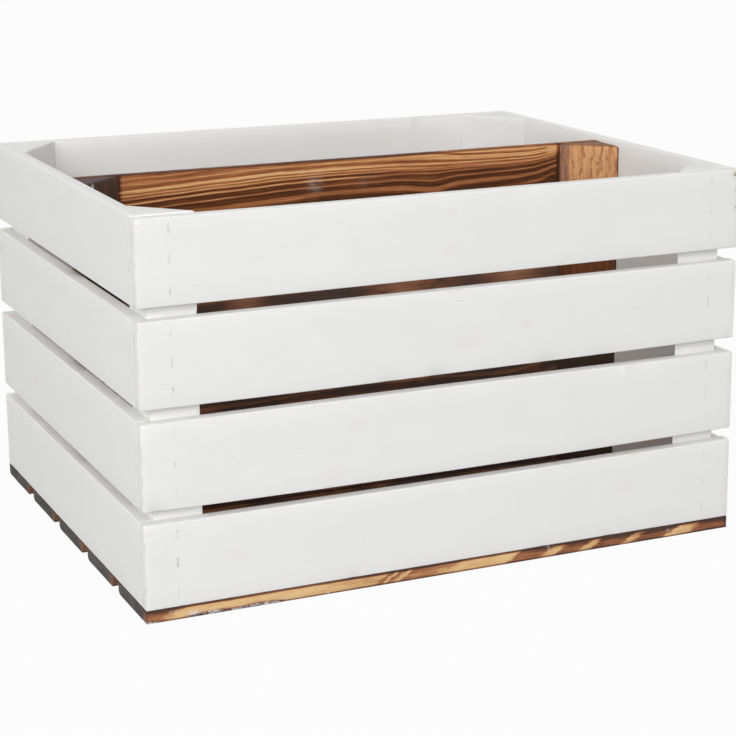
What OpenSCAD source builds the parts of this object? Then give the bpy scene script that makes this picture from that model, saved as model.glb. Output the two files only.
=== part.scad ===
// Kindling box: a slatted wooden crate, open at the top, with a divider along its length.
// Millimetres. X runs along the front, Y to the back, Z up.
// The origin is the middle of the underside.

/* [Box] */
// Length of the box along the front, outside
box_length = 500; // [380:10:800]
// Depth of the box from front to back, outside
box_depth = 400; // [360:10:600]

/* [Wall slats] */
// Height of one wall slat
slat_height = 65; // [50:1:90]
// Open gap between one wall slat and the next
slat_gap = 10; // [4:1:30]
// Thickness of the wall slats
slat_thickness = 10.5; // [8:0.5:16]
// Rounding of the two long outer edges of a wall slat
slat_round = 1; // [0.5:0.5:5]

/* [Floor boards] */
// Width of one floor board
floor_board_width = 70; // [56:1:78]
// Thickness of the floor boards
floor_thickness = 10; // [8:0.5:16]
// Rounding of the long lower edges of a floor board
floor_round = 4.5; // [0.5:0.5:6]
// Rounding of the front lower edge, which is sawn nearly square
floor_front_round = 1; // [0.5:0.5:6]

/* [Corner posts] */
// Side of a front post that lies against the front wall
front_post_length = 38; // [34:1:60]
// Side of a front post that lies against the end wall
front_post_depth = 41; // [34:1:60]
// Side of a back post that lies against the back wall
back_post_length = 41; // [34:1:60]
// Side of a back post that lies against the end wall
back_post_depth = 53; // [34:1:60]

/* [Divider] */
// Clear depth of the front compartment, from the front wall to the divider
front_room = 190; // [120:5:220]
// How far the top of the divider lies below the rim
divider_drop = 3; // [0:0.5:10]
// Thickness of the divider boards
divider_thickness = 10; // [8:0.5:16]
// Rounding of the two long rear edges of a divider board
divider_round = 2; // [0.5:0.5:5]
// Side of a divider post that lies against the divider
divider_post_length = 40; // [34:1:60]
// Side of a divider post that lies against the end wall
divider_post_depth = 34; // [32:1:60]

/* [Staples] */
// Width of a staple over its crown
staple_width = 7; // [5:0.5:10]
// Thickness of the square staple wire
staple_wire = 1.2; // [0.8:0.1:1.6]
// Length of the staple legs, with the crown
staple_leg = 22; // [18:1:24]
// Depth of the crown below the face of the wood
staple_sink = 0.3; // [0.1:0.1:0.6]
// Clearance of the wire in the wood on each side
staple_fit = 0.1; // [0.05:0.05:0.2]

/* [Staple places] */
// From the end of a long wall to its corner staples
long_wall_inset = 25; // [24:0.5:30]
// From the end of a short wall, with the long wall that covers it, to its corner staples
short_wall_inset = 15; // [13:0.5:15.5]
// From the lower edge of a long slat to its lowest staple
long_staple_low = 12; // [8:0.5:16]
// From the upper edge of a long slat to its highest staple
long_staple_top = 9; // [8:0.5:16]
// From the lower edge of a short slat to its lowest staple
short_staple_low = 10; // [8:0.5:14]
// From the upper edge of a short slat to its highest staple
short_staple_top = 21; // [8:0.5:24]
// From the divider to the staples that hold its posts to the end walls
post_staple_inset = 13; // [10:0.5:14]
// From the lower edge of a short slat to the lower staple of a divider post
post_staple_low = 18; // [18:0.5:24]
// From the upper edge of a short slat to the upper staple of a divider post
post_staple_top = 13; // [8:0.5:20]
// From the end wall to the staples at the end of a divider board
divider_staple_inset = 15; // [15:0.5:17]
// From the edges of a divider board to its staples
divider_staple_edge = 14; // [8:0.5:20]
// From the edges of a floor board to the staples at its ends
floor_staple_edge = 20; // [20:0.5:24]

/* [Hidden] */
$fn = 32;

// Counts that the construction is laid out for
slat_rows = 4;
floor_boards = 5;
corner_staples_per_slat = 3;
staples_per_joint = 2;
// Overshoot of a cut past the face that it opens
over = 1;

// Finishes
white_paint = [0.91, 0.91, 0.89];
burnt_wood = [0.50, 0.31, 0.17];
bare_steel = [0.55, 0.55, 0.54];

wall_height = slat_rows * slat_height + (slat_rows - 1) * slat_gap;
short_slat_length = box_depth - 2 * slat_thickness;
inside_length = box_length - 2 * slat_thickness;
slat_pitch = slat_height + slat_gap;
floor_pitch = (box_depth - floor_board_width) / (floor_boards - 1);
divider_front = -box_depth / 2 + slat_thickness + front_room;
divider_back = divider_front + divider_thickness;
divider_height = wall_height - divider_drop;
divider_pitch = (divider_height - slat_height) / (slat_rows - 1);

// Quarter turns from the front wall, counted to the left round the box as seen from above
function quarter_turns(wall) = wall == "front" ? 0 : wall == "right" ? 1 : wall == "back" ? 2 : 3;
function is_long(wall) = wall == "front" || wall == "back";
function wall_reach(wall) = is_long(wall) ? box_depth / 2 : box_length / 2;
function slat_length(wall) = is_long(wall) ? box_length : short_slat_length;
function wall_half(wall) = is_long(wall) ? box_length / 2 : box_depth / 2;
function staple_inset(wall) = is_long(wall) ? long_wall_inset : short_wall_inset;
function lowest_staple(wall) = is_long(wall) ? long_staple_low : short_staple_low;
function highest_staple(wall) = is_long(wall) ? long_staple_top : short_staple_top;
function slat_level(row) = floor_thickness + row * slat_pitch;
function divider_level(row) = floor_thickness + row * divider_pitch;
// Places spread evenly from low up to height - top
function spread(low, top, height, count) =
    [for (i = [0:count - 1]) low + i * (height - low - top) / (count - 1)];

// A board standing on its edge: it runs along X, its face is at Y = 0 and it goes back from there.
// The long edges of the face are rounded, lower and upper each with its own radius.
module board(length, height, thickness, low_round, high_round) {
    translate([-length / 2, 0, 0])
        rotate([90, 0, 90])
            linear_extrude(length)
                difference() {
                    square([thickness, height]);
                    corner_waste(low_round);
                    translate([0, height])
                        mirror([0, 1])
                            corner_waste(high_round);
                }
}

// What rounding takes off a corner at the origin
module corner_waste(radius) {
    difference() {
        translate([-over, -over])
            square(radius + over);
        translate([radius, radius])
            circle(radius);
    }
}

// A staple driven along +Y into a face at Y = 0, with its crown upright
module staple() {
    translate([-staple_wire / 2, staple_sink, -staple_width / 2])
        cube([staple_wire, staple_wire, staple_width]);
    staple_legs(staple_sink, staple_leg, 0);
}

// The wood that a staple takes away; the crown seats on the bottom of its slot
module staple_pocket() {
    slot_width = staple_wire + 2 * staple_fit;
    slot_height = staple_width + 2 * staple_fit;
    translate([-slot_width / 2, -over, -slot_height / 2])
        cube([slot_width, over + staple_sink + staple_wire, slot_height]);
    staple_legs(0, staple_sink + staple_leg + staple_fit, staple_fit);
}

module staple_legs(start, length, clearance) {
    thick = staple_wire + 2 * clearance;
    for (end = [-1, 1])
        translate([-thick / 2, start, end * (staple_width - staple_wire) / 2 - thick / 2])
            cube([thick, length, thick]);
}

// Puts children on a wall: X along it, its outer face at Y = 0
module on_wall(wall) {
    rotate([0, 0, 90 * quarter_turns(wall)])
        translate([0, -wall_reach(wall), 0])
            children();
}

// Places of the staples that hold one slat to the corner post at one end
module corner_staple_places(wall, end, row) {
    for (z = spread(lowest_staple(wall), highest_staple(wall), slat_height, corner_staples_per_slat))
        translate([end * (wall_half(wall) - staple_inset(wall)), 0, slat_level(row) + z])
            children();
}

// Places of the staples that hold one short slat to the divider post; Y grows towards the back
module post_staple_places(wall, row) {
    along = divider_front - post_staple_inset;
    for (z = spread(post_staple_low, post_staple_top, slat_height, staples_per_joint))
        translate([wall == "right" ? along : -along, 0, slat_level(row) + z])
            children();
}

// All staple places in one slat
module slat_staple_places(wall, row) {
    for (end = [-1, 1])
        corner_staple_places(wall, end, row)
            children();
    if (!is_long(wall))
        post_staple_places(wall, row)
            children();
}

// Places of the staples at one end of a divider board, driven forward from its rear face
module divider_staple_places(side, row) {
    for (z = spread(divider_staple_edge, divider_staple_edge, slat_height, staples_per_joint))
        translate([side * (inside_length / 2 - divider_staple_inset), divider_back, divider_level(row) + z])
            rotate([0, 0, 180])
                children();
}

// Places of the staples at both ends of a floor board, driven up into the short walls
module floor_staple_places(index) {
    middle = floor_board_middle(index);
    for (side = [-1, 1])
        for (y = spread(floor_staple_edge, floor_staple_edge, floor_board_width, staples_per_joint))
            translate([side * (box_length - slat_thickness) / 2, middle - floor_board_width / 2 + y, 0])
                rotate([90, 0, 0])
                    children();
}

function floor_board_middle(index) = (index - (floor_boards - 1) / 2) * floor_pitch;

module wall_slat(wall, row) {
    color(white_paint)
        difference() {
            on_wall(wall)
                difference() {
                    translate([0, 0, slat_level(row)])
                        board(slat_length(wall), slat_height, slat_thickness, slat_round, slat_round);
                    slat_staple_places(wall, row)
                        staple_pocket();
                }
            if (row == 0 && !is_long(wall))
                for (index = [0:floor_boards - 1])
                    floor_staple_places(index)
                        staple_pocket();
        }
}

module floor_board(index) {
    front_round = index == 0 ? floor_front_round : floor_round;
    color(burnt_wood)
        difference() {
            translate([0, floor_board_middle(index) + floor_board_width / 2, 0])
                rotate([90, 0, 0])
                    board(box_length, floor_board_width, floor_thickness, floor_round, front_round);
            floor_staple_places(index)
                staple_pocket();
        }
}

// A three-sided post in the corner at x_side and y_side, where wall ends and next_wall begins
module corner_post(x_side, y_side, wall, next_wall) {
    length = y_side < 0 ? front_post_length : back_post_length;
    depth = y_side < 0 ? front_post_depth : back_post_depth;
    color(white_paint)
        difference() {
            translate([x_side * inside_length / 2, y_side * short_slat_length / 2, floor_thickness])
                linear_extrude(wall_height)
                    polygon([[0, 0], [-x_side * length, 0], [0, -y_side * depth]]);
            for (row = [0:slat_rows - 1]) {
                on_wall(wall)
                    corner_staple_places(wall, 1, row)
                        staple_pocket();
                on_wall(next_wall)
                    corner_staple_places(next_wall, -1, row)
                        staple_pocket();
            }
        }
}

module divider_board(row) {
    color(burnt_wood)
        difference() {
            translate([0, divider_back, divider_level(row)])
                rotate([0, 0, 180])
                    board(inside_length, slat_height, divider_thickness, divider_round, divider_round);
            for (side = [-1, 1])
                divider_staple_places(side, row)
                    staple_pocket();
        }
}

// A three-sided post in front of the divider, at its end at side, against the short wall there
module divider_post(side, wall) {
    color(burnt_wood)
        difference() {
            translate([side * inside_length / 2, divider_front, floor_thickness])
                linear_extrude(divider_height)
                    polygon([[0, 0], [-side * divider_post_length, 0], [0, -divider_post_depth]]);
            for (row = [0:slat_rows - 1]) {
                divider_staple_places(side, row)
                    staple_pocket();
                on_wall(wall)
                    post_staple_places(wall, row)
                        staple_pocket();
            }
        }
}

module wall_staples(wall) {
    color(white_paint)
        for (row = [0:slat_rows - 1])
            on_wall(wall)
                slat_staple_places(wall, row)
                    staple();
}

module floor_staples() {
    color(bare_steel)
        for (index = [0:floor_boards - 1])
            floor_staple_places(index)
                staple();
}

module divider_staples() {
    color(bare_steel)
        for (row = [0:slat_rows - 1], side = [-1, 1])
            divider_staple_places(side, row)
                staple();
}

floor_board(0);  // floor_board_1
floor_board(1);  // floor_board_2
floor_board(2);  // floor_board_3
floor_board(3);  // floor_board_4
floor_board(4);  // floor_board_5
wall_slat("front", 0);  // front_slat_1
wall_slat("front", 1);  // front_slat_2
wall_slat("front", 2);  // front_slat_3
wall_slat("front", 3);  // front_slat_4
wall_slat("right", 0);  // right_slat_1
wall_slat("right", 1);  // right_slat_2
wall_slat("right", 2);  // right_slat_3
wall_slat("right", 3);  // right_slat_4
wall_slat("back", 0);  // back_slat_1
wall_slat("back", 1);  // back_slat_2
wall_slat("back", 2);  // back_slat_3
wall_slat("back", 3);  // back_slat_4
wall_slat("left", 0);  // left_slat_1
wall_slat("left", 1);  // left_slat_2
wall_slat("left", 2);  // left_slat_3
wall_slat("left", 3);  // left_slat_4
corner_post(1, -1, "front", "right");  // corner_post_front_right
corner_post(1, 1, "right", "back");  // corner_post_back_right
corner_post(-1, 1, "back", "left");  // corner_post_back_left
corner_post(-1, -1, "left", "front");  // corner_post_front_left
divider_board(0);  // divider_board_1
divider_board(1);  // divider_board_2
divider_board(2);  // divider_board_3
divider_board(3);  // divider_board_4
divider_post(-1, "left");  // divider_post_left
divider_post(1, "right");  // divider_post_right
wall_staples("front");  // front_staples
wall_staples("right");  // right_staples
wall_staples("back");  // back_staples
wall_staples("left");  // left_staples
floor_staples();
divider_staples();
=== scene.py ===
import math
import bmesh
import bpy
from mathutils import Matrix, Vector, noise


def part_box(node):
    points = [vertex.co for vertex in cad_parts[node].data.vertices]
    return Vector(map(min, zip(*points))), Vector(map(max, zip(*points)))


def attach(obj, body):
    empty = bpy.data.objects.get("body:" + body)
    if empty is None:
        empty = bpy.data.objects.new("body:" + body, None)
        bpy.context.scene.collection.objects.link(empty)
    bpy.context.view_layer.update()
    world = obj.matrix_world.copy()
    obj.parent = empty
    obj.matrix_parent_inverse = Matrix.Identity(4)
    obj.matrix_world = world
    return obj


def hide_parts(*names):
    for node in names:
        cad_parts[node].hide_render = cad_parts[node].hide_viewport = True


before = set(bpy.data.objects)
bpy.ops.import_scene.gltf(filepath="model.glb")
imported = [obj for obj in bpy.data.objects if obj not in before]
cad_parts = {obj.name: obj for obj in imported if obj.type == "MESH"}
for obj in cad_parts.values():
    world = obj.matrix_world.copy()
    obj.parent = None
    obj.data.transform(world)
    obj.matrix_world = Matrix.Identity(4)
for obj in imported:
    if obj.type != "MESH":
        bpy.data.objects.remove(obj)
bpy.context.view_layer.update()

# ---- Camera ----
# A long lens from the left of the front, at the level of a low table, that looks a little down.
# The picture is cut a little off the middle of the lens.
camera_place = (-0.6568, -1.5190, 0.5503)
camera_turn = 0.43552
camera_tilt = 0.22674
camera_roll = -0.00263
camera_data = bpy.data.cameras.new("camera")
camera_data.sensor_width = 36
camera_data.lens = 98.18
camera_data.shift_x = -0.05
camera_data.shift_y = -0.08
camera = bpy.data.objects.new("camera", camera_data)
looks = Matrix.Rotation(-camera_turn, 4, "Z") @ Matrix.Rotation(math.pi / 2 - camera_tilt, 4, "X")
camera.matrix_world = Matrix.Translation(camera_place) @ looks @ Matrix.Rotation(camera_roll, 4, "Z")
bpy.context.scene.collection.objects.link(camera)
bpy.context.scene.camera = camera
bpy.context.scene.view_settings.view_transform = "Standard"


# ---- Studio ----
# A pale floor under a white sky, both of which the camera sees as white. A small soft lamp stands near
# the left corner of the box, and three wide ones stand far off, to its left and before both corners.
class Wire:
    """What comes out of one node, so that a pattern is written as sums and products."""
    def __init__(self, finish, socket):
        self.finish = finish
        self.socket = socket

    def math(self, operation, first, second=0.0):
        return self.finish.node("Math", {"operation": operation}, {0: first, 1: second})

    def __add__(self, other):
        return self.math("ADD", self, other)

    def __radd__(self, other):
        return self.math("ADD", other, self)

    def __sub__(self, other):
        return self.math("SUBTRACT", self, other)

    def __rsub__(self, other):
        return self.math("SUBTRACT", other, self)

    def __mul__(self, other):
        return self.math("MULTIPLY", self, other)

    def __rmul__(self, other):
        return self.math("MULTIPLY", other, self)

    def __truediv__(self, other):
        return self.math("DIVIDE", self, other)

    def __pow__(self, other):
        return self.math("POWER", self, other)

    def low(self, other):
        return self.math("MINIMUM", self, other)

    def high(self, other):
        return self.math("MAXIMUM", self, other)

    def size(self):
        return self.math("ABSOLUTE", self)

    def part(self):
        return self.math("FRACT", self)

    def hump(self, middle, width):
        """1 at the middle, falling off to both sides over about the width."""
        away = (self - middle) / width
        return self.math("EXPONENT", 0.0 - away * away)

    def rise(self, start, end):
        """0 up to start, 1 from end on, and smooth between; it falls where end is the lower."""
        limits = {"Value": self, "From Min": start, "From Max": end}
        return self.finish.node("MapRange", {"interpolation_type": "SMOOTHSTEP"}, limits)


class Finish:
    """The nodes of a material, or of the sky, round the shader that shows."""
    def __init__(self, owner, shader="Principled BSDF"):
        owner.use_nodes = True
        self.owner = owner
        self.tree = owner.node_tree
        self.surface = self.tree.nodes[shader]

    def node(self, kind, settings, inputs, output=0):
        made = self.tree.nodes.new("ShaderNode" + kind)
        for setting, value in settings.items():
            if setting == "stops":
                set_stops(made.color_ramp, value)
            elif setting == "between":
                made.color_ramp.interpolation = value
            else:
                setattr(made, setting, value)
        for socket, value in inputs.items():
            self.plug(made.inputs[socket], value)
        return Wire(self, made.outputs[output])

    def plug(self, socket, value):
        if isinstance(value, Wire):
            self.tree.links.new(value.socket, socket)
        else:
            socket.default_value = value

    def set(self, **values):
        for name, value in values.items():
            self.plug(self.surface.inputs[name.replace("_", " ").title()], value)

    def mix(self, share, first, second):
        return self.node("Mix", {"data_type": "RGBA"}, {0: share, 6: first, 7: second}, 2)

    def clouds(self, place, stretch, seed, detail=4.0, rough=0.55):
        """Noise from 0 to 1, with stretch the number of its waves in a millimetre each way."""
        here = self.node("VectorMath", {"operation": "MULTIPLY_ADD"}, {0: place, 1: stretch, 2: seed})
        inputs = {"Vector": here, "Scale": 1.0, "Detail": detail, "Roughness": rough}
        return self.node("TexNoise", {}, inputs)

    def seen(self):
        """1 to the camera and in mirror images, 0 to the light that falls on things."""
        rays = self.node("LightPath", {}, {}, "Is Camera Ray")
        return rays.high(self.node("LightPath", {}, {}, "Is Glossy Ray"))


def set_stops(ramp, stops):
    while len(ramp.elements) < len(stops):
        ramp.elements.new(1.0)
    for element, (place, shade) in zip(ramp.elements, stops):
        element.position = place
        element.color = (*shade, 1.0)


sky_level = 0.52
world = bpy.data.worlds.new("sky")
bpy.context.scene.world = world
sky = Finish(world, "Background")
sky.set(Color=(1.0, 1.0, 1.0, 1.0), Strength=sky_level + sky.seen() * (1.0 - sky_level))

floor_radius = 9.0
floor_grey = 0.32
floor_glow = 0.96
floor_form = bmesh.new()
bmesh.ops.create_circle(floor_form, cap_ends=True, segments=64, radius=floor_radius)
floor_mesh = bpy.data.meshes.new("floor")
floor_form.to_mesh(floor_mesh)
floor_form.free()
floor = bpy.data.objects.new("floor", floor_mesh)
bpy.context.scene.collection.objects.link(floor)
pale = Finish(bpy.data.materials.new("pale_floor"))
pale.set(Base_Color=(floor_grey, floor_grey, floor_grey, 1.0), Roughness=0.9)
white = pale.node("Emission", {}, {"Color": (1.0, 1.0, 1.0, 1.0), "Strength": 1.0})
shown = {0: pale.seen() * floor_glow, 1: Wire(pale, pale.surface.outputs[0]), 2: white}
pale.plug(pale.tree.nodes["Material Output"].inputs["Surface"], pale.node("MixShader", {}, shown))
floor_mesh.materials.append(pale.owner)


def soft_lamp(name, turn, height, distance, size, watts):
    """A lamp that looks at the box, at turn from the front and at height above it, in degrees."""
    data = bpy.data.lights.new(name, "AREA")
    data.shape = "SQUARE"
    data.size = size
    data.energy = watts
    lamp = bpy.data.objects.new(name, data)
    lean = Matrix.Rotation(math.radians(turn), 4, "Z") @ Matrix.Rotation(math.radians(90 - height), 4, "X")
    lamp.matrix_world = lean @ Matrix.Translation((0, 0, distance))
    bpy.context.scene.collection.objects.link(lamp)


soft_lamp("corner_lamp", -42.0, 20, 2.0, 0.8, 6.4)
soft_lamp("left_lamp", -65.0, 34, 12.0, 5.0, 265)
soft_lamp("front_left_lamp", -35.0, 22, 12.0, 5.0, 285)
soft_lamp("front_right_lamp", 28.8, 26, 12.0, 5.0, 215)


# ---- Wall slats ----
# Sixteen planed pine slats, four on each side, painted white on all faces. The long ones cover the
# ends of the short ones, and staples hold each slat to its corner posts.
slat_rows = 4
slat_round = 1.0
sawn_round = 0.5
touching = 0.01
metres = Matrix.Scale(0.001, 4)
walls = {"front": 0, "right": 1, "back": 2, "left": 3}
out_of = {"front": Vector((0, -1, 0)), "right": Vector((1, 0, 0)),
          "back": Vector((0, 1, 0)), "left": Vector((-1, 0, 0))}


def millimetres(node):
    """The lowest and highest corner of a node of the frame."""
    low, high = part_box(node)
    return low * 1000, high * 1000


def long_edges(form, touches):
    """Edges from one end of a board to the other whose middle passes the test."""
    found = []
    for edge in form.edges:
        a, b = (v.co for v in edge.verts)
        if a.x * b.x < 0 and touches((a + b) / 2):
            found.append(edge)
    return found


def bevel(form, edges, radius, segments):
    bmesh.ops.bevel(form, geom=edges, offset=radius, offset_type="OFFSET", affect="EDGES",
                    segments=segments, profile=0.5, material=-1)


def sharp_edges(form, least=math.radians(50)):
    """The edges at which a form turns by more than the least angle."""
    return [e for e in form.edges if e.calc_face_angle() > least]


def slice_at(form, point, normal, **settings):
    """Cuts edges into a form where a plane goes through it."""
    everything = form.verts[:] + form.edges[:] + form.faces[:]
    bmesh.ops.bisect_plane(form, geom=everything, plane_co=point, plane_no=normal, **settings)


def cut_lengthways(form, length, step=5.0):
    """Cuts a board every few millimetres of its length, so that it can be worn and bent."""
    bmesh.ops.subdivide_edges(form, edges=long_edges(form, lambda p: True), cuts=int(length / step),
                              use_grid_fill=True)


def plank(length, thickness, height, rounds):
    """A board in its own place: X along it, outer face at Y = 0, lower edge at Z = 0.
    rounds are the radii of its lower and upper outer edges."""
    form = bmesh.new()
    bmesh.ops.create_cube(form, size=1.0)
    bmesh.ops.scale(form, vec=(length, thickness, height), verts=form.verts)
    bmesh.ops.translate(form, vec=(0, thickness / 2, height / 2), verts=form.verts)
    for edge_height, radius in zip((0, height), rounds):
        outer = long_edges(form, lambda p: p.y < touching and abs(p.z - edge_height) < touching)
        bevel(form, outer, radius, 4)
    bevel(form, sharp_edges(form), sawn_round, 2)
    for share in (0.2, 0.4, 0.6, 0.8):
        slice_at(form, (0, 0, height * share), (0, 0, 1))
    cut_lengthways(form, length)
    return form


def bow(form, length, height, low, top):
    """Bends the lower and upper edge up by millimetres given for left end, middle and right end."""
    for v in form.verts:
        share = v.co.x / length + 0.5
        lifts = []
        for left, middle, right in (low, top):
            sag = (middle - (left + right) / 2) * 4 * share * (1 - share)
            lifts.append(left * (1 - share) + right * share + sag)
        v.co.z += lifts[0] + (lifts[1] - lifts[0]) * v.co.z / height


def wear(form, seed, wave, nick):
    """Pushes the skin in by up to wave, and by up to nick at a few places on its edges, which it
    marks as bare."""
    form.normal_update()
    bare = form.verts.layers.float.new("bare")
    moves = []
    for v in form.verts:
        p = v.co + Vector((seed * 91.0, seed * 17.0, seed * 53.0))
        slow = 0.5 + 0.5 * noise.noise(Vector((p.x / 90, p.y / 12, p.z / 30)))
        corner = 1.0 - max(abs(c) for c in v.normal)
        bite = max(0.0, noise.noise(Vector((p.x / 9, p.y / 7, p.z / 11))) - 0.50) * 4.0
        bite = min(1.0, bite) * min(1.0, corner * 6.0)
        v[bare] = bite
        moves.append(v.normal * -(wave * slow + nick * bite))
    for v, move in zip(form.verts, moves):
        v.co += move


def settle(form, name, place):
    """Puts a form in millimetres at its place and makes it a piece in metres."""
    bmesh.ops.transform(form, matrix=metres @ place, verts=form.verts)
    bmesh.ops.recalc_face_normals(form, faces=form.faces)
    mesh = bpy.data.meshes.new(name)
    form.to_mesh(mesh)
    form.free()
    piece = bpy.data.objects.new(name, mesh)
    bpy.context.scene.collection.objects.link(piece)
    return piece


def in_place(finish, place):
    """Object coordinates turned into the millimetres of the piece's own place."""
    back = place.inverted()
    object_place = finish.node("TexCoord", {}, {}, "Object")
    settings = {"Vector": object_place, "Location": back.to_translation(),
                "Rotation": back.to_euler(), "Scale": (1000, 1000, 1000)}
    return finish.node("Mapping", {"vector_type": "POINT"}, settings)


def board_faces(length, thickness, height):
    """For a board: how deep a point lies below its ends, its faces and its long sides. The fourth
    depth stands for the one side more that a post has, and is never the least or the second least."""
    def depths(x, y, z):
        across = thickness / 2 - (y - thickness / 2).size()
        upright = height / 2 - (z - height / 2).size()
        return length / 2 - x.size(), across, upright, upright + length
    return depths


def edge_depth(depths):
    """The second least of the four depths: on the skin, how far the nearest edge is."""
    a, b, c, d = depths
    return a.low(b).high(c.low(d)).low(a.high(b).low(c.high(d)))


def split(finish, p):
    """The three coordinates of a place."""
    return [finish.node("SeparateXYZ", {}, {0: p}, axis) for axis in range(3)]


white_paint = ((0.882, 0.882, 0.866, 1.0), (0.898, 0.897, 0.883, 1.0))
raw_pine = ((0.56, 0.43, 0.27, 1.0), (0.80, 0.70, 0.52, 1.0))
scuff_grey = (0.42, 0.42, 0.40, 1.0)
chipped_pine = (0.82, 0.76, 0.56, 1.0)
deep_chip = (0.22, 0.19, 0.14, 1.0)
# Colour of the darker seam at slat ends: dirt in the joint and painted shade, as the joint in the mesh is
# flush.
seam_dirt_and_shade_tone = (0.34, 0.31, 0.25, 1.0)


def painted(name, place, faces, seed, knots=(), chips=(), sawn=0.0):
    """White paint on pine: thin on the edges, with the grain and the knots faintly through it.
    knots are given by place along and up and by radius. chips are bare spots by place along and up,
    reach both ways and depth, where 1 goes through to dark wood. sawn is how much the saw's marks
    across the grain show."""
    finish = Finish(bpy.data.materials.new(name))
    p = in_place(finish, place)
    x, y, z = split(finish, p)
    shift = (seed * 3.7, seed * 9.1, seed * 5.3)
    fibre = finish.clouds(p, (0.012, 0.55, 0.55), shift, 6.0, 0.65)
    bands = finish.clouds(p, (0.004, 0.09, 0.09), shift, 3.0)
    coat = finish.clouds(p, (0.02, 0.03, 0.03), shift, 4.0)
    stipple = finish.clouds(p, (0.7, 0.7, 0.7), shift, 3.0)
    strokes = finish.clouds(p, (0.5, 0.04, 0.04), shift, 4.0)
    knot = x * 0.0
    for along, up, radius in knots:
        across = (x - along) / 1.5
        over = z - up
        from_knot = (across * across + over * over) ** 0.5
        ragged = from_knot + (stipple - 0.5) * 3.0
        knot = knot.high(ragged.rise(radius * 1.3, radius * 0.5))
    arris = edge_depth(faces(x, y, z))
    patches = finish.clouds(p, (0.03, 0.08, 0.05), shift, 3.0).rise(0.60, 0.72)
    rubbed = (arris + (fibre - 0.5) * 3.0).rise(1.3, 0.2) * patches
    bitten = finish.node("Attribute", {"attribute_name": "bare"}, {}, "Fac").rise(0.25, 0.8)
    scuffs = finish.clouds(p, (0.04, 0.30, 0.30), shift, 2.0).rise(0.70, 0.78)
    chip = x * 0.0
    for along, up, reach, height, depth in chips:
        chip = chip.high(x.hump(along, reach) * z.hump(up, height) * depth)
    chip = chip + (stipple - 0.5) * 0.9
    show = (0.02 * bands + 0.03 * fibre.rise(0.5, 0.8) + 0.05 * knot).low(1.0)
    paint = finish.mix(coat.rise(0.3, 0.7), *white_paint)
    paint = finish.mix(0.12 * scuffs + 0.05 * sawn * strokes, paint, scuff_grey)
    raw = finish.mix(fibre, *raw_pine)
    colour = finish.mix(show, paint, raw)
    colour = finish.mix((rubbed * 0.30).high(bitten * 0.55), colour, raw)
    colour = finish.mix(chip.rise(0.45, 0.60) * 0.42, colour, chipped_pine)
    colour = finish.mix(chip.rise(0.90, 1.00) * 0.7, colour, deep_chip)
    # Darker seam at each slat's ends, in patches: partly dirt, partly painted shade of the joint line.
    seam_patches = finish.clouds(p, (0.2, 0.15, 0.15), shift, 3.0).rise(0.44, 0.60)
    seam_dirt_and_shade = faces(x, y, z)[0].rise(0.8, 0.1) * arris.rise(1.5, 0.3) * seam_patches * (1.0 - sawn)
    colour = finish.mix(seam_dirt_and_shade * 0.35, colour, seam_dirt_and_shade_tone)
    relief = fibre * 0.6 + stipple * 0.35 + bands * 0.8 + strokes * (1.6 * sawn)
    bump = finish.node("Bump", {}, {"Strength": 0.35, "Distance": 0.0002 + 0.0004 * sawn, "Height": relief})
    finish.set(Base_Color=colour, Roughness=0.5 + 0.16 * coat + 0.08 * fibre, Normal=bump)
    return finish.owner


def staple_boxes(node, merge_reach=1e-6):
    """The lowest and highest corner, in millimetres, of each staple of a group of the frame."""
    form = bmesh.new()
    form.from_mesh(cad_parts[node].data)
    bmesh.ops.remove_doubles(form, verts=form.verts, dist=merge_reach)
    rest = set(form.verts)
    boxes = []
    while rest:
        reached = [rest.pop()]
        for v in reached:
            for edge in v.link_edges:
                other = edge.other_vert(v)
                if other in rest:
                    rest.remove(other)
                    reached.append(other)
        low = Vector(min(v.co[i] for v in reached) for i in range(3)) * 1000
        high = Vector(max(v.co[i] for v in reached) for i in range(3)) * 1000
        boxes.append((low, high))
    form.free()
    return sorted(boxes, key=lambda box: tuple(round(c, 2) for c in box[0]))


def staple_place(box, outward):
    """The place of a staple: the middle of its crown's outer face, legs to +Y and crown along Z.
    The crown lies along the middle one of the box's three sizes, as the wire is thinner and the
    legs are longer."""
    low, high = box
    middle = (low + high) / 2
    size = high - low
    reach = Vector(abs(c) for c in outward).dot(size)
    crown = Vector((0, 0, 0))
    crown[sorted(range(3), key=lambda i: size[i])[1]] = 1
    inward = -outward
    across = inward.cross(crown)
    turn = Matrix((across, inward, crown)).transposed().to_4x4()
    return Matrix.Translation(middle + outward * reach / 2) @ turn


def bent_wire(width, thick, leg, start=0.0):
    """A staple: its crown runs along Z from a face at Y = start, and both legs go to +Y."""
    form = bmesh.new()
    bmesh.ops.create_cube(form, size=1.0)
    bmesh.ops.scale(form, vec=(thick, thick - start, width), verts=form.verts)
    bmesh.ops.translate(form, vec=(0, (thick + start) / 2, 0), verts=form.verts)
    inner = width / 2 - thick
    for side in (-1, 1):
        slice_at(form, (0, 0, side * inner), (0, 0, 1))
    form.normal_update()
    roots = [f for f in form.faces if f.normal.y > 0.9 and abs(f.calc_center_median().z) > inner]
    for root in bmesh.ops.extrude_discrete_faces(form, faces=roots)["faces"]:
        bmesh.ops.translate(form, vec=(0, leg - thick, 0), verts=root.verts)
    return form


# All the staples are needed here already, because each board gets the slots of those that reach it.
staple_groups = {wall + "_staples": out_of[wall] for wall in walls}
staple_groups["floor_staples"] = Vector((0, 0, -1))
staple_groups["divider_staples"] = Vector((0, 1, 0))
staple_width = 7.0
staple_wire = 1.2
staple_leg = 22.0
wire_fit = 0.1
staple_sink = 0.3
slot_overshoot = 1.0
driven = [(box, staple_place(box, outward)) for node, outward in staple_groups.items()
          for box in staple_boxes(node)]


def pour(form, into):
    """Adds one form to another."""
    mesh = bpy.data.meshes.new("poured")
    form.to_mesh(mesh)
    form.free()
    into.from_mesh(mesh)
    bpy.data.meshes.remove(mesh)


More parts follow.
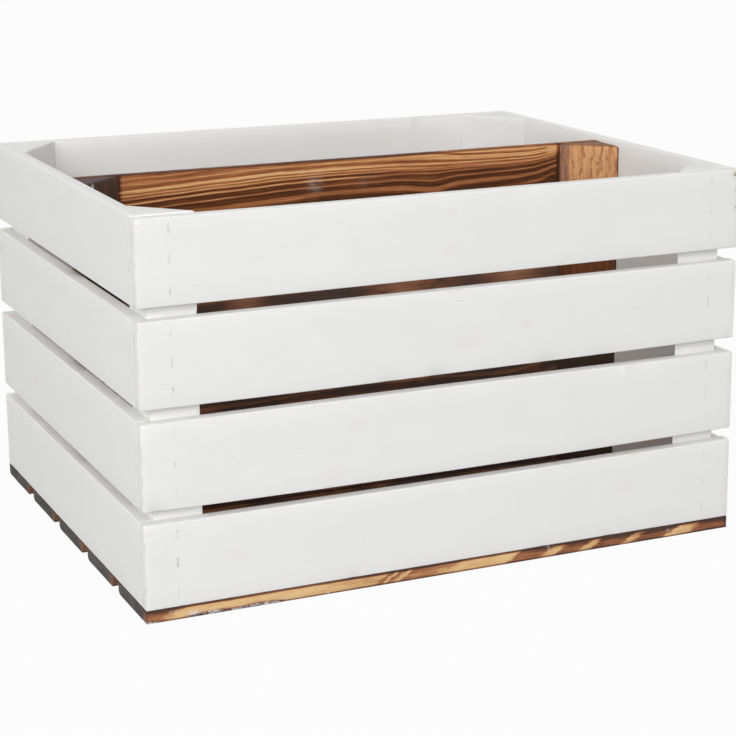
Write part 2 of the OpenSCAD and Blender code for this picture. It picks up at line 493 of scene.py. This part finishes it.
def shade(piece, least=math.radians(35)):
    """Shades a piece smooth, but for the edges that turn by more than the least angle."""
    piece.data.shade_smooth()
    piece.data.set_sharp_from_angle(angle=least)


def cut_pockets(piece, low, high):
    """Cuts the slots of the staples that reach into the box of a piece."""
    cutter = bmesh.new()
    for (box_low, box_high), place in driven:
        if all(box_low[i] < high[i] and box_high[i] > low[i] for i in range(3)):
            slot = bent_wire(staple_width + 2 * wire_fit, staple_wire + 2 * wire_fit,
                             staple_leg + 2 * wire_fit, -slot_overshoot - staple_sink)
            bmesh.ops.transform(slot, matrix=metres @ place, verts=slot.verts)
            bmesh.ops.recalc_face_normals(slot, faces=slot.faces)
            pour(slot, cutter)
    if cutter.faces:
        mesh = bpy.data.meshes.new("slots")
        cutter.to_mesh(mesh)
        slots = bpy.data.objects.new("slots", mesh)
        bpy.context.scene.collection.objects.link(slots)
        cut = piece.modifiers.new("slots", "BOOLEAN")
        cut.operation = "DIFFERENCE"
        cut.solver = "EXACT"
        cut.object = slots
        ready = piece.evaluated_get(bpy.context.evaluated_depsgraph_get())
        whole = piece.data
        piece.data = bpy.data.meshes.new_from_object(ready)
        piece.modifiers.clear()
        bpy.data.meshes.remove(whole)
        bpy.data.objects.remove(slots)
        bpy.data.meshes.remove(mesh)
        piece.data.name = piece.name
    cutter.free()
    shade(piece)


def hand_over(piece, node):
    """Fixes a piece to the box, in the place of its node."""
    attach(piece, "root")
    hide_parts(node)


def wall_place(wall, low, high):
    """The place of a slat: the middle of the lower edge of its outer face, X along the wall."""
    middle = (low + high) / 2
    outward = out_of[wall]
    reach = Vector(abs(c) for c in outward).dot(high - low) / 2
    foot = middle + outward * reach
    foot.z = low.z
    return Matrix.Translation(foot) @ Matrix.Rotation(walls[wall] * math.pi / 2, 4, "Z")


# Knots, chips and bows as painted and bow take them, in millimetres from the middle of a slat's foot.
slat_knots = {
    "front_slat_4": ((-4, 22, 6), (-4, 50, 4)),
    "front_slat_3": ((10, 24, 9), (62, 33, 5)),
    "front_slat_2": ((-82, 45, 5), (-102, 10, 6)),
    "front_slat_1": ((150, 40, 7), (-180, 34, 5)),
    "left_slat_4": ((40, 20, 5),),
    "left_slat_2": ((-90, 30, 7), (60, 44, 5)),
    "right_slat_3": ((30, 35, 8),),
    "back_slat_4": ((60, 30, 7), (-120, 44, 5)),
    "back_slat_2": ((-30, 20, 6), (170, 38, 8)),
}
slat_chips = {
    "front_slat_4": ((247, 61, 6, 6, 1.0), (249, 47, 3, 4, 1.1), (249, 34, 3, 4, 1.1), (-248, 58, 4, 2, 0.7),
                     (-249, 40, 1, 6, 0.8)),
    "front_slat_1": ((244, 20, 2, 3, 0.8), (-246, 58, 3, 2, 0.8)),
    "left_slat_4": ((196, 60, 3, 3, 0.7), (197, 2, 2, 2, 0.8)),
    "left_slat_3": ((-186, 65, 8, 4, 0.62), (197, 64, 3, 2, 0.7), (197, 2, 2, 2, 1.0)),
    "left_slat_2": ((-180, 65, 10, 4, 0.64), (197, 64, 3, 2, 0.8), (30, 65, 10, 3, 0.52)),
    "left_slat_1": ((-174, 65, 10, 4, 0.66), (-60, 65, 10, 3, 0.55), (198, 64, 2, 2, 0.7)),
}
slat_bows = {
    "front_slat_4": ((-0.4, 0.4, 1.2), (-1.2, -1.0, -0.2)),
    "front_slat_3": ((0.4, 0.6, 2.0), (0.0, 0.5, 0.7)),
    "front_slat_2": ((-0.3, -1.4, 0.9), (0.0, 0.3, 0.0)),
    "front_slat_1": ((0.0, 0.0, 0.0), (0.0, 0.0, 1.4)),
    "left_slat_4": ((-0.3, -0.5, -0.8), (0.0, 0.0, 0.0)),
    "left_slat_2": ((-0.8, -1.0, -1.0), (0.0, 0.4, 0.3)),
}
for wall in walls:
    for row in range(1, slat_rows + 1):
        node = f"{wall}_slat_{row}"
        low, high = millimetres(node)
        place = wall_place(wall, low, high)
        long = max(high.x - low.x, high.y - low.y)
        thick = min(high.x - low.x, high.y - low.y)
        tall = high.z - low.z
        seed = walls[wall] * 4 + row
        form = plank(long, thick, tall, (slat_round, slat_round))
        wear(form, seed, wave=0.2, nick=0.8)
        if node in slat_bows:
            bow(form, long, tall, *slat_bows[node])
        slat = settle(form, f"painted_{node}", place)
        cut_pockets(slat, low, high)
        faces = board_faces(long, thick, tall)
        knots, chips = slat_knots.get(node, ()), slat_chips.get(node, ())
        slat.data.materials.append(painted(f"white_{node}", place, faces, seed, knots, chips))
        hand_over(slat, node)


# ---- Corner posts ----
# Four three-sided posts, sawn in two from square pine and painted with the slats. Their square
# corner fills the corner of the walls, and the slats are stapled to their two narrower sides.
post_round = 0.6


def three_sided(length, first, second, top_round=0.9):
    """A post that lies along X, with its square corner at Y = Z = 0 and legs first (Y) and second (Z).
    Its top end is rounded by top_round."""
    form = bmesh.new()
    bmesh.ops.create_cube(form, size=1.0)
    bmesh.ops.scale(form, vec=(length, first, second), verts=form.verts)
    bmesh.ops.translate(form, vec=(0, first / 2, second / 2), verts=form.verts)
    slice_at(form, (0, first, 0), (0, second, first), dist=touching, clear_outer=True)
    bmesh.ops.holes_fill(form, edges=[e for e in form.edges if e.is_boundary])
    top = [e for e in form.edges if all(v.co.x > length / 2 - touching for v in e.verts)]
    bevel(form, top, top_round, 3)
    bevel(form, sharp_edges(form), post_round, 2)
    for share in (0.25, 0.5, 0.75):
        slice_at(form, (0, first * share, 0), (0, 1, 0))
    cut_lengthways(form, length)
    return form


def post_faces(length, first, second):
    """For a three-sided post: how deep a point lies below its ends and its three sides."""
    slope = math.hypot(first, second)

    def depths(x, y, z):
        return length / 2 - x.size(), y, z, (first * second - second * y - first * z) / slope
    return depths


def post_place(low, high, x_side, y_side):
    """The place of a post that stands in the corner of its box at x_side and y_side."""
    corner = Vector((high.x if x_side > 0 else low.x, high.y if y_side > 0 else low.y, (low.z + high.z) / 2))
    inward = [Vector((-x_side, 0, 0)), Vector((0, -y_side, 0))]
    if x_side != y_side:
        inward.reverse()
    turn = Matrix((Vector((0, 0, 1)), *inward)).transposed().to_4x4()
    legs = [abs(direction.dot(high - low)) for direction in inward]
    return Matrix.Translation(corner) @ turn, high.z - low.z, *legs


sides = {"left": -1, "right": 1, "front": -1, "back": 1}
for seed, name in enumerate(("front_right", "back_right", "back_left", "front_left"), 20):
    node = "corner_post_" + name
    y_name, x_name = name.split("_")
    low, high = millimetres(node)
    place, tall, first, second = post_place(low, high, sides[x_name], sides[y_name])
    form = three_sided(tall, first, second)
    wear(form, seed, wave=0.25, nick=1.2)
    post = settle(form, f"painted_{node}", place)
    cut_pockets(post, low, high)
    faces = post_faces(tall, first, second)
    post.data.materials.append(painted(f"white_{node}", place, faces, seed, sawn=1.0))
    hand_over(post, node)


# ---- Divider boards ----
# Four pine boards of the slats' width, scorched with a flame and brushed, so that the soft wood of
# the rings went dark and the hard wood stands out light. They are stapled to two posts from behind.
divider_round = 2.0
flamed_pine = ((0.00, (0.054, 0.020, 0.009)), (0.16, (0.112, 0.035, 0.012)), (0.35, (0.240, 0.082, 0.028)),
               (0.56, (0.420, 0.160, 0.062)), (0.80, (0.690, 0.365, 0.150)), (1.00, (0.830, 0.560, 0.270)))
straw_pine = (0.82, 0.59, 0.29, 1.0)
charcoal = ((0.050, 0.033, 0.025, 1.0), (0.100, 0.074, 0.058, 1.0))
soot = (0.026, 0.024, 0.021, 1.0)
thin_soot = (0.130, 0.074, 0.045, 1.0)
smeared_paint = (0.80, 0.80, 0.79, 1.0)


def rubs(along, up, places):
    """Rubs of white paint: each by its place along and up, its reach both ways and its strength."""
    rub = along * 0.0
    for at, height, reach, rise, strength in places:
        rub = rub.high(along.hump(at, reach) * up.hump(height, rise) * strength)
    return rub


def scorched(name, place, faces, seed, pattern, end_tone=soot, singe=1.0, straw=0.0):
    """Flamed pine. pattern gives how light the wood is, how far it is burnt, how black its sawn ends
    are and how much white paint is rubbed on it, each 0 to 1. end_tone is the colour of those ends,
    singe is how far the edges are burnt, and straw is how yellow the lightest wood is."""
    finish = Finish(bpy.data.materials.new(name))
    p = in_place(finish, place)
    x, y, z = split(finish, p)
    shift = (seed * 3.7, seed * 9.1, seed * 5.3)
    fibre = finish.clouds(p, (0.03, 0.7, 0.7), shift, 6.0, 0.7)
    pores = finish.clouds(p, (0.09, 1.3, 1.3), shift, 3.0)
    depths = faces(x, y, z)
    arris = edge_depth(depths)
    light, burn, black, rub = pattern(finish, p, x, y, z, shift)
    singed = (arris + (fibre - 0.5) * 2.0).rise(2.0, 0.2) * singe
    light = light * (1.0 - 0.5 * singed) + (fibre - 0.5) * 0.55 + (pores - 0.5) * 0.25
    wood = finish.node("ValToRGB", {"stops": flamed_pine}, {0: light})
    wood = finish.mix(light.rise(0.50, 0.90) * straw, wood, straw_pine)
    charred = finish.mix(fibre, *charcoal)
    colour = finish.mix((burn + 0.4 * singed).rise(0.45, 1.05), wood, charred)
    sawn_end = depths[0].rise(0.9, 0.2)
    blotches = finish.clouds(p, (0.1, 0.14, 0.07), shift, 4.0, 0.6)
    patchy = (blotches.rise(0.46, 0.66) * 0.5).high(pores.rise(0.5, 0.8) * 0.5)
    ends = finish.mix(patchy, end_tone, thin_soot)
    colour = finish.mix(sawn_end * black, colour, ends)
    colour = finish.mix((rub * (0.4 + 1.2 * fibre)).low(1.0), colour, smeared_paint)
    relief = light * 0.8 + fibre * 0.6 + pores * 0.2
    bump = finish.node("Bump", {}, {"Strength": 0.6, "Distance": 0.0004, "Height": relief})
    finish.set(Base_Color=colour, Roughness=0.52 + 0.2 * burn + 0.12 * fibre, Normal=bump)
    finish.plug(finish.surface.inputs["Specular IOR Level"], 0.12)
    return finish.owner


def grown(heart_depth, heart_height, ring, flame, missed=()):
    """The pattern of a board sawn beside the heart of the tree, which lies heart_depth before its
    outer face and heart_height up. ring is the width of a year's growth, flame is how far the board
    was burnt, and missed are places along it, each with its reach, that the flame passed by."""
    def pattern(finish, p, x, y, z, shift):
        wander = finish.clouds(p, (0.005, 0.02, 0.02), shift, 2.0)
        drift = (finish.clouds(p, (0.0035, 0.0, 0.0), shift, 2.0) - 0.5) * 60.0
        deep = y + heart_depth
        side = z - heart_height + drift
        rings = (deep * deep + side * side) ** 0.5 / ring + (wander - 0.5) * 2.5
        share = rings.part()
        hard = share.rise(0.45, 0.80) * share.rise(1.0, 0.88)
        cloud = finish.clouds(p, (0.012, 0.05, 0.03), shift, 4.0, 0.6)
        kept = x * 0.0
        for at, reach in missed:
            kept = kept.high(x.hump(at, reach) * cloud.rise(0.30, 0.50))
        burn = (cloud.rise(0.36, 0.64) * 0.8 + flame - 0.4).high(0.0).low(1.0) * (1.0 - 0.6 * kept)
        plain = 0.78 - 0.36 * hard
        burnt = 0.10 + 0.42 * hard
        return plain * (1.0 - burn) + burnt * burn, burn * 0.75, 0.9 + x * 0.0, 0.05 + 0.03 * kept
    return pattern


def curve(finish, along, points, top=1.0, between="LINEAR"):
    """The value at a place between points of place and value; no value is over top."""
    first, last = points[0][0], points[-1][0]
    stops = [((at - first) / (last - first), (value / top,) * 3) for at, value in points]
    share = (along - first) / (last - first)
    return finish.node("ValToRGB", {"stops": stops, "between": between}, {0: share}) * top


def top_divider(finish, p, x, y, z, shift):
    """The board that shows in the open top. Its lines keep their share of the way from a lower to an
    upper course, which dip at the right of the middle and sweep up at the right end."""
    along = 0.0 - x
    lower = curve(finish, along, ((-240, 24), (-200, 26), (-160, 30), (-120, 32.3), (-80, 34), (-40, 36.4),
                                  (0, 37.4), (40, 37), (60, 35.3), (78, 33.3), (90, 35), (100, 36.7),
                                  (120, 37.8), (160, 39.2), (180, 41.7), (190, 44.6), (200, 49), (240, 66)),
                  100.0, "CARDINAL")
    upper = curve(finish, along, ((-240, 48), (-200, 50.4), (-140, 53.2), (-100, 55.4), (-60, 57), (40, 57),
                                  (80, 55.7), (120, 54.9), (160, 54.9), (180, 56), (200, 60), (240, 72)),
                  100.0, "CARDINAL")
    swirl = (finish.clouds(p, (0.02, 0.05, 0.05), shift, 3.0) - 0.5) * 0.10
    level = (z - lower) / (upper - lower) + swirl
    follows = finish.node("CombineXYZ", {}, {0: along * 0.012, 1: level * 19.0})
    lines = finish.clouds(follows, (1.0, 1.0, 1.0), shift, 3.0, 0.6)
    left = curve(finish, level, (
        (-0.80, 0.12), (-0.16, 0.12), (-0.06, 0.48), (0.05, 0.50), (0.12, 0.16), (0.28, 0.10), (0.315, 0.56),
        (0.35, 0.50), (0.39, 0.14), (0.53, 0.14), (0.565, 0.80), (0.60, 0.74), (0.64, 0.18), (0.70, 0.18),
        (0.75, 0.84), (0.785, 0.50), (0.81, 0.34), (0.845, 0.78), (0.88, 0.70), (0.915, 0.40), (0.97, 0.86),
        (1.03, 0.84), (1.08, 0.42), (1.18, 0.40), (1.225, 0.70), (1.265, 0.66), (1.32, 0.42), (1.41, 0.44),
        (1.45, 0.56), (1.50, 0.42), (1.80, 0.45)))
    right = curve(finish, level, (
        (-0.80, 0.08), (-0.60, 0.10), (-0.54, 0.42), (-0.46, 0.40), (-0.38, 0.10), (-0.14, 0.06),
        (-0.06, 0.46), (0.06, 0.50), (0.14, 0.12), (0.29, 0.06), (0.34, 0.44), (0.40, 0.40), (0.45, 0.12),
        (0.57, 0.12), (0.62, 0.48), (0.66, 0.44), (0.70, 0.20), (0.75, 0.50), (0.86, 0.66), (0.90, 0.46),
        (0.94, 0.42), (0.98, 0.78), (1.03, 0.76), (1.08, 0.32), (1.12, 0.38), (1.17, 0.76), (1.32, 0.80),
        (1.37, 0.34), (1.41, 0.38), (1.46, 0.76), (1.80, 0.78)))
    light = left + (right - left) * along.rise(-20.0, 90.0) + (lines - 0.5) * 0.75
    light = light.high(along.rise(180.0, 190.0) * z.rise(54.0, 59.0) * 0.76)
    # Painted shade: narrow dark, partly charred bands where the board meets the posts' sharp edges.
    painted_shade_by_posts = along.hump(199.0, 2.0) + along.hump(-200.0, 2.2)
    light = light - 0.6 * painted_shade_by_posts - 0.3 * z.rise(64.2, 64.9)
    smudge = finish.clouds(p, (0.08, 0.25, 0.25), shift, 4.0).rise(0.36, 0.66)
    return (light, 0.5 * painted_shade_by_posts, 0.6 + x * 0.0,
            rubs(x, z, ((33, 46, 7, 7, 0.22), (-15, 45, 8, 4, 0.10), (-160, 60, 6, 3, 0.06))) * smudge)


divider_patterns = (grown(30.0, 30.0, 6.0, 0.95), grown(22.0, 48.0, 7.0, 1.0),
                    grown(14.0, 28.0, 6.0, 0.85, ((95, 18), (-50, 16), (-157, 30))), top_divider)
for row, pattern in enumerate(divider_patterns, 1):
    node = f"divider_board_{row}"
    low, high = millimetres(node)
    place = Matrix.Translation(((low.x + high.x) / 2, high.y, low.z)) @ Matrix.Rotation(math.pi, 4, "Z")
    size = (high.x - low.x, high.y - low.y, high.z - low.z)
    seed = row + 30
    form = plank(*size, (divider_round, divider_round))
    wear(form, seed, wave=0.2, nick=0.9)
    board = settle(form, f"scorched_{node}", place)
    cut_pockets(board, low, high)
    board.data.materials.append(
        scorched(f"flamed_{node}", place, board_faces(*size), seed, pattern))
    hand_over(board, node)


# ---- Divider posts ----
# Two three-sided posts of scorched pine in front of the divider, one at each end wall. The right
# one is golden with wavy grain, and the left one was burnt nearly black.
def wavy(finish, p, x, y, z, shift):
    """The right post: golden with wavy grain, burnt in a stripe down one edge, and darker towards its foot,
    partly burnt and partly painted shade.
    """
    wave = (finish.clouds(p, (0.05, 0.03, 0.03), shift, 3.0, 0.6) - 0.5) * 26.0
    across = z - y
    share = ((across + wave) / 11.0).part()
    hard = share.rise(0.30, 0.80) * share.rise(1.0, 0.85)
    broken = finish.clouds(p, (0.08, 0.25, 0.25), shift, 4.0).rise(0.34, 0.62)
    flecks = finish.clouds(p, (0.25, 0.5, 0.5), shift, 2.0).rise(0.58, 0.72)
    stripe = across.rise(-38.8, -37.2) * across.rise(-26.5, -28.5)
    # Darker and more charred towards the foot: partly burn, partly painted shade of the inside of the box.
    shade_and_burn_below = x.rise(125.0, 60.0)
    marks = (0.24 * hard * broken + 0.24 * flecks + 0.22 * stripe) * (1.0 - 0.8 * shade_and_burn_below)
    light = 0.78 - marks - 0.46 * shade_and_burn_below
    burn = 0.6 * shade_and_burn_below + 0.4 * x.rise(20.0, -60.0)
    return light, burn.high(stripe * 0.60), 0.9 + x * 0.0, (0.03 + 0.05 * stripe) * (1.0 - shade_and_burn_below)


def blackened(finish, p, x, y, z, shift):
    """The left post: nearly black, with brown streaks and one fleck of white paint."""
    streak = finish.clouds(p, (0.01, 0.12, 0.12), shift, 4.0).rise(0.52, 0.70)
    fleck = rubs(x, z, ((139, 12, 2.5, 1.2, 0.8),))
    return 0.10 + 0.36 * streak, 0.88 - 0.34 * streak, 1.0 + x * 0.0, fleck


divider_post_round = 2.2
end_tones = {"left": (0.120, 0.086, 0.096, 1.0), "right": (0.190, 0.088, 0.044, 1.0)}
for side, seed, pattern in (("left", 39, blackened), ("right", 41, wavy)):
    node = "divider_post_" + side
    low, high = millimetres(node)
    place, tall, first, second = post_place(low, high, sides[side], 1)
    form = three_sided(tall, first, second, divider_post_round)
    wear(form, seed, wave=0.25, nick=1.2)
    post = settle(form, f"scorched_{node}", place)
    cut_pockets(post, low, high)
    faces = post_faces(tall, first, second)
    post.data.materials.append(
        scorched(f"flamed_{node}", place, faces, seed, pattern, end_tones[side]))
    hand_over(post, node)


# ---- Floor boards ----
# Five scorched pine boards as long as the box, with gaps between them. They are stapled up into
# the lowest slats, and their ends and edges show below the white walls.
floor_round = 4.5
floor_front_round = 1.0
front_board_sides = grown(26.0, 30.0, 6.0, 0.7)


def flame_marks(finish, p, x, y, z, shift):
    """The front board: slanting dark tongues of the flame on its front edge, denser to the right."""
    ragged = (finish.clouds(p, (0.15, 0.35, 0.35), shift, 5.0, 0.6) - 0.5) * 14.0
    lean = x - (y - 5.0) * 1.7 + ragged
    light = curve(finish, lean, (
        (-250, 0.40), (-238, 0.46), (-224, 0.84), (-125, 0.90), (-96, 0.78), (-64, 0.74), (-60, 0.46),
        (-55, 0.92), (-51, 0.48), (-45, 0.90), (-40, 0.54), (-5, 0.66), (2, 0.80), (48, 0.94), (52, 0.52),
        (78, 0.46), (83, 0.82), (91, 0.84), (96, 0.42), (113, 0.44), (117, 0.84), (124, 0.82), (129, 0.38),
        (153, 0.38), (157, 0.86), (163, 0.80), (168, 0.34), (194, 0.38), (199, 0.90), (216, 0.80),
        (224, 0.46), (250, 0.40)))
    uneven = (finish.clouds(p, (0.06, 0.25, 0.25), shift, 4.0, 0.6) - 0.5) * 0.5
    tips = (0.92 - light).high(0.0) * 0.5 + x.rise(60.0, 90.0) * 0.22
    near_top = y.rise(7.8, 9.4) * 0.60 + y.rise(4.5, 9.0) * tips
    near_foot = y.rise(2.4, 0.4) * 0.50 + x.rise(246.0, 249.5) * 0.20
    dark_foot = x.rise(-226.0, -212.0) * x.rise(-135.0, -155.0) * (y + uneven * 5.0).rise(3.6, 2.2) * 0.6
    near_corner = (z + uneven * 24.0).rise(54.0, 68.0)
    smears = rubs(x, y, ((-247, 0.6, 4, 0.9, 1.8), (-230, 6.6, 3, 0.9, 1.1), (-214, 3.4, 5, 1.8, 0.9),
                         (-200, 1.8, 6, 1.1, 1.2), (-157, 1.6, 14, 0.8, 1.3), (-180, 1.0, 8, 0.8, 0.8),
                         (-107, 1.5, 1, 0.8, 2.0), (82, 7.5, 0.8, 1.5, 1.6), (193, 6.0, 1.2, 0.8, 1.6)))
    grit = finish.clouds(p, (0.30, 0.9, 0.9), shift, 3.0).rise(0.43, 0.53)
    edge = light + uneven - near_top - near_foot - dark_foot
    at_edge = (z + uneven * 16.0).rise(58.0, 67.0)
    wide, burn, black, rub = front_board_sides(finish, p, x, y, z, shift)
    return (wide + (edge - wide) * at_edge, burn * (1.0 - at_edge), 1.0 - 0.85 * near_corner,
            rub * (1.0 - at_edge) + (0.025 + smears * grit) * at_edge)


def with_tan_corner(pattern):
    """A floor board's pattern, with its sawn ends left brown towards the front."""
    def marked(finish, p, x, y, z, shift):
        light, burn, black, rub = pattern(finish, p, x, y, z, shift)
        patchy = (finish.clouds(p, (0.2, 0.3, 0.3), shift, 3.0) - 0.5) * 20.0
        corner = (z + patchy).rise(56.0, 68.0)
        return light + (0.28 - light) * corner, burn * (1.0 - 0.4 * corner), 1.0 - 0.7 * corner, rub
    return marked


floor_patterns = (flame_marks, with_tan_corner(grown(24.0, 40.0, 6.0, 0.6)),
                  with_tan_corner(grown(40.0, 20.0, 7.0, 0.8)), with_tan_corner(grown(18.0, 34.0, 6.0, 0.7)),
                  with_tan_corner(grown(30.0, 50.0, 7.0, 0.7)))
for number, pattern in enumerate(floor_patterns, 1):
    node = f"floor_board_{number}"
    low, high = millimetres(node)
    place = Matrix.Translation(((low.x + high.x) / 2, high.y, low.z)) @ Matrix.Rotation(math.pi / 2, 4, "X")
    size = (high.x - low.x, high.z - low.z, high.y - low.y)
    form = plank(*size, (floor_round, floor_front_round if number == 1 else floor_round))
    wear(form, number + 60, wave=0.2, nick=1.0)
    board = settle(form, f"scorched_{node}", place)
    cut_pockets(board, low, high)
    board.data.materials.append(
        scorched(f"flamed_{node}", place, board_faces(*size), number + 50, pattern,
                 singe=0.45, straw=0.55))
    hand_over(board, node)


# ---- Staples ----
# Narrow steel staples, driven a little below the wood. The walls' ones were painted over with the
# slats, and covered gives the least and the most that paint fills their slots, where 1 is full. The
# ones in the floor and the divider are bare.
staple_steel = ((0.34, 0.33, 0.32, 1.0), (0.52, 0.51, 0.49, 1.0))
staple_rust = (0.20, 0.09, 0.04, 1.0)
# Dark grey of the paint over some crowns: grime in the dent and painted shade of the groove round the filled
# slot.
staple_paint_grime_and_shade = ((0.64, 0.63, 0.61, 1.0), (0.87, 0.87, 0.854, 1.0))


def staple_finish(name, paint):
    """Steel wire; paint is how much of it is still under paint, more on one staple than the next."""
    finish = Finish(bpy.data.materials.new(name))
    place = finish.node("TexCoord", {}, {}, "Object")
    spots = finish.clouds(place, (900, 900, 900), (0, 0, 0), 3.0)
    scratches = finish.clouds(place, (260, 260, 260), (5, 1, 3), 4.0)
    uneven = finish.clouds(place, (31, 31, 31), (2, 7, 4), 1.0)
    steel = finish.mix(scratches, *staple_steel)
    rusty = finish.mix(spots.rise(0.60, 0.75) * 0.6, steel, staple_rust)
    limit = 0.86 - 0.62 * paint + (uneven - 0.5) * 0.7
    cover = (spots - limit).rise(-0.06, 0.06) * (1.0 if paint else 0.0)
    # Where not clean, the paint over the crown is dark grey: partly grime, partly painted shade of the
    # groove.
    clean_and_unshaded = uneven.rise(0.35, 0.60).high(scratches.rise(0.42, 0.60))
    coat = finish.mix(clean_and_unshaded, *staple_paint_grime_and_shade)
    bump = finish.node("Bump", {}, {"Strength": 0.4, "Distance": 0.0001, "Height": scratches + cover})
    finish.set(Base_Color=finish.mix(cover, rusty, coat), Metallic=0.9 - 0.9 * cover,
               Roughness=0.38 + 0.2 * cover, Normal=bump)
    return finish.owner


paint_fill = 0.28
paint_fit = 0.8 * wire_fit
covered = {"front_staples": (0.5, 1.1), "left_staples": (0.1, 0.9), "right_staples": (0.4, 1.1),
           "back_staples": (0.4, 1.1)}
wire_round = 0.12
bare_bend = 0.8
filled_bend = 0.1
noise.seed_set(7)
for node, outward in staple_groups.items():
    bare = node not in covered
    group = bmesh.new()
    for box in staple_boxes(node):
        least, most = covered.get(node, (0.0, 0.0))
        filled = min(1.0, least + (most - least) * noise.random())
        snug = paint_fit * filled
        wire = bent_wire(staple_width + 2 * snug, staple_wire + 2 * snug, staple_leg, -paint_fill * filled)
        wire.normal_update()
        shoulders = [e for e in wire.edges if all(v.co.y < touching for v in e.verts)
                     and all(abs(v.co.z) > staple_width / 2 - touching for v in e.verts)]
        bevel(wire, shoulders, bare_bend + (filled_bend - bare_bend) * filled, 3)
        bmesh.ops.transform(wire, matrix=staple_place(box, outward), verts=wire.verts)
        pour(wire, group)
    bevel(group, sharp_edges(group), wire_round, 1)
    staples = settle(group, ("steel_" if bare else "painted_") + node, Matrix.Identity(4))
    shade(staples)
    paint = 0.0 if bare else 0.4 + 0.5 * most
    staples.data.materials.append(staple_finish(node + "_steel", paint))
    hand_over(staples, node)
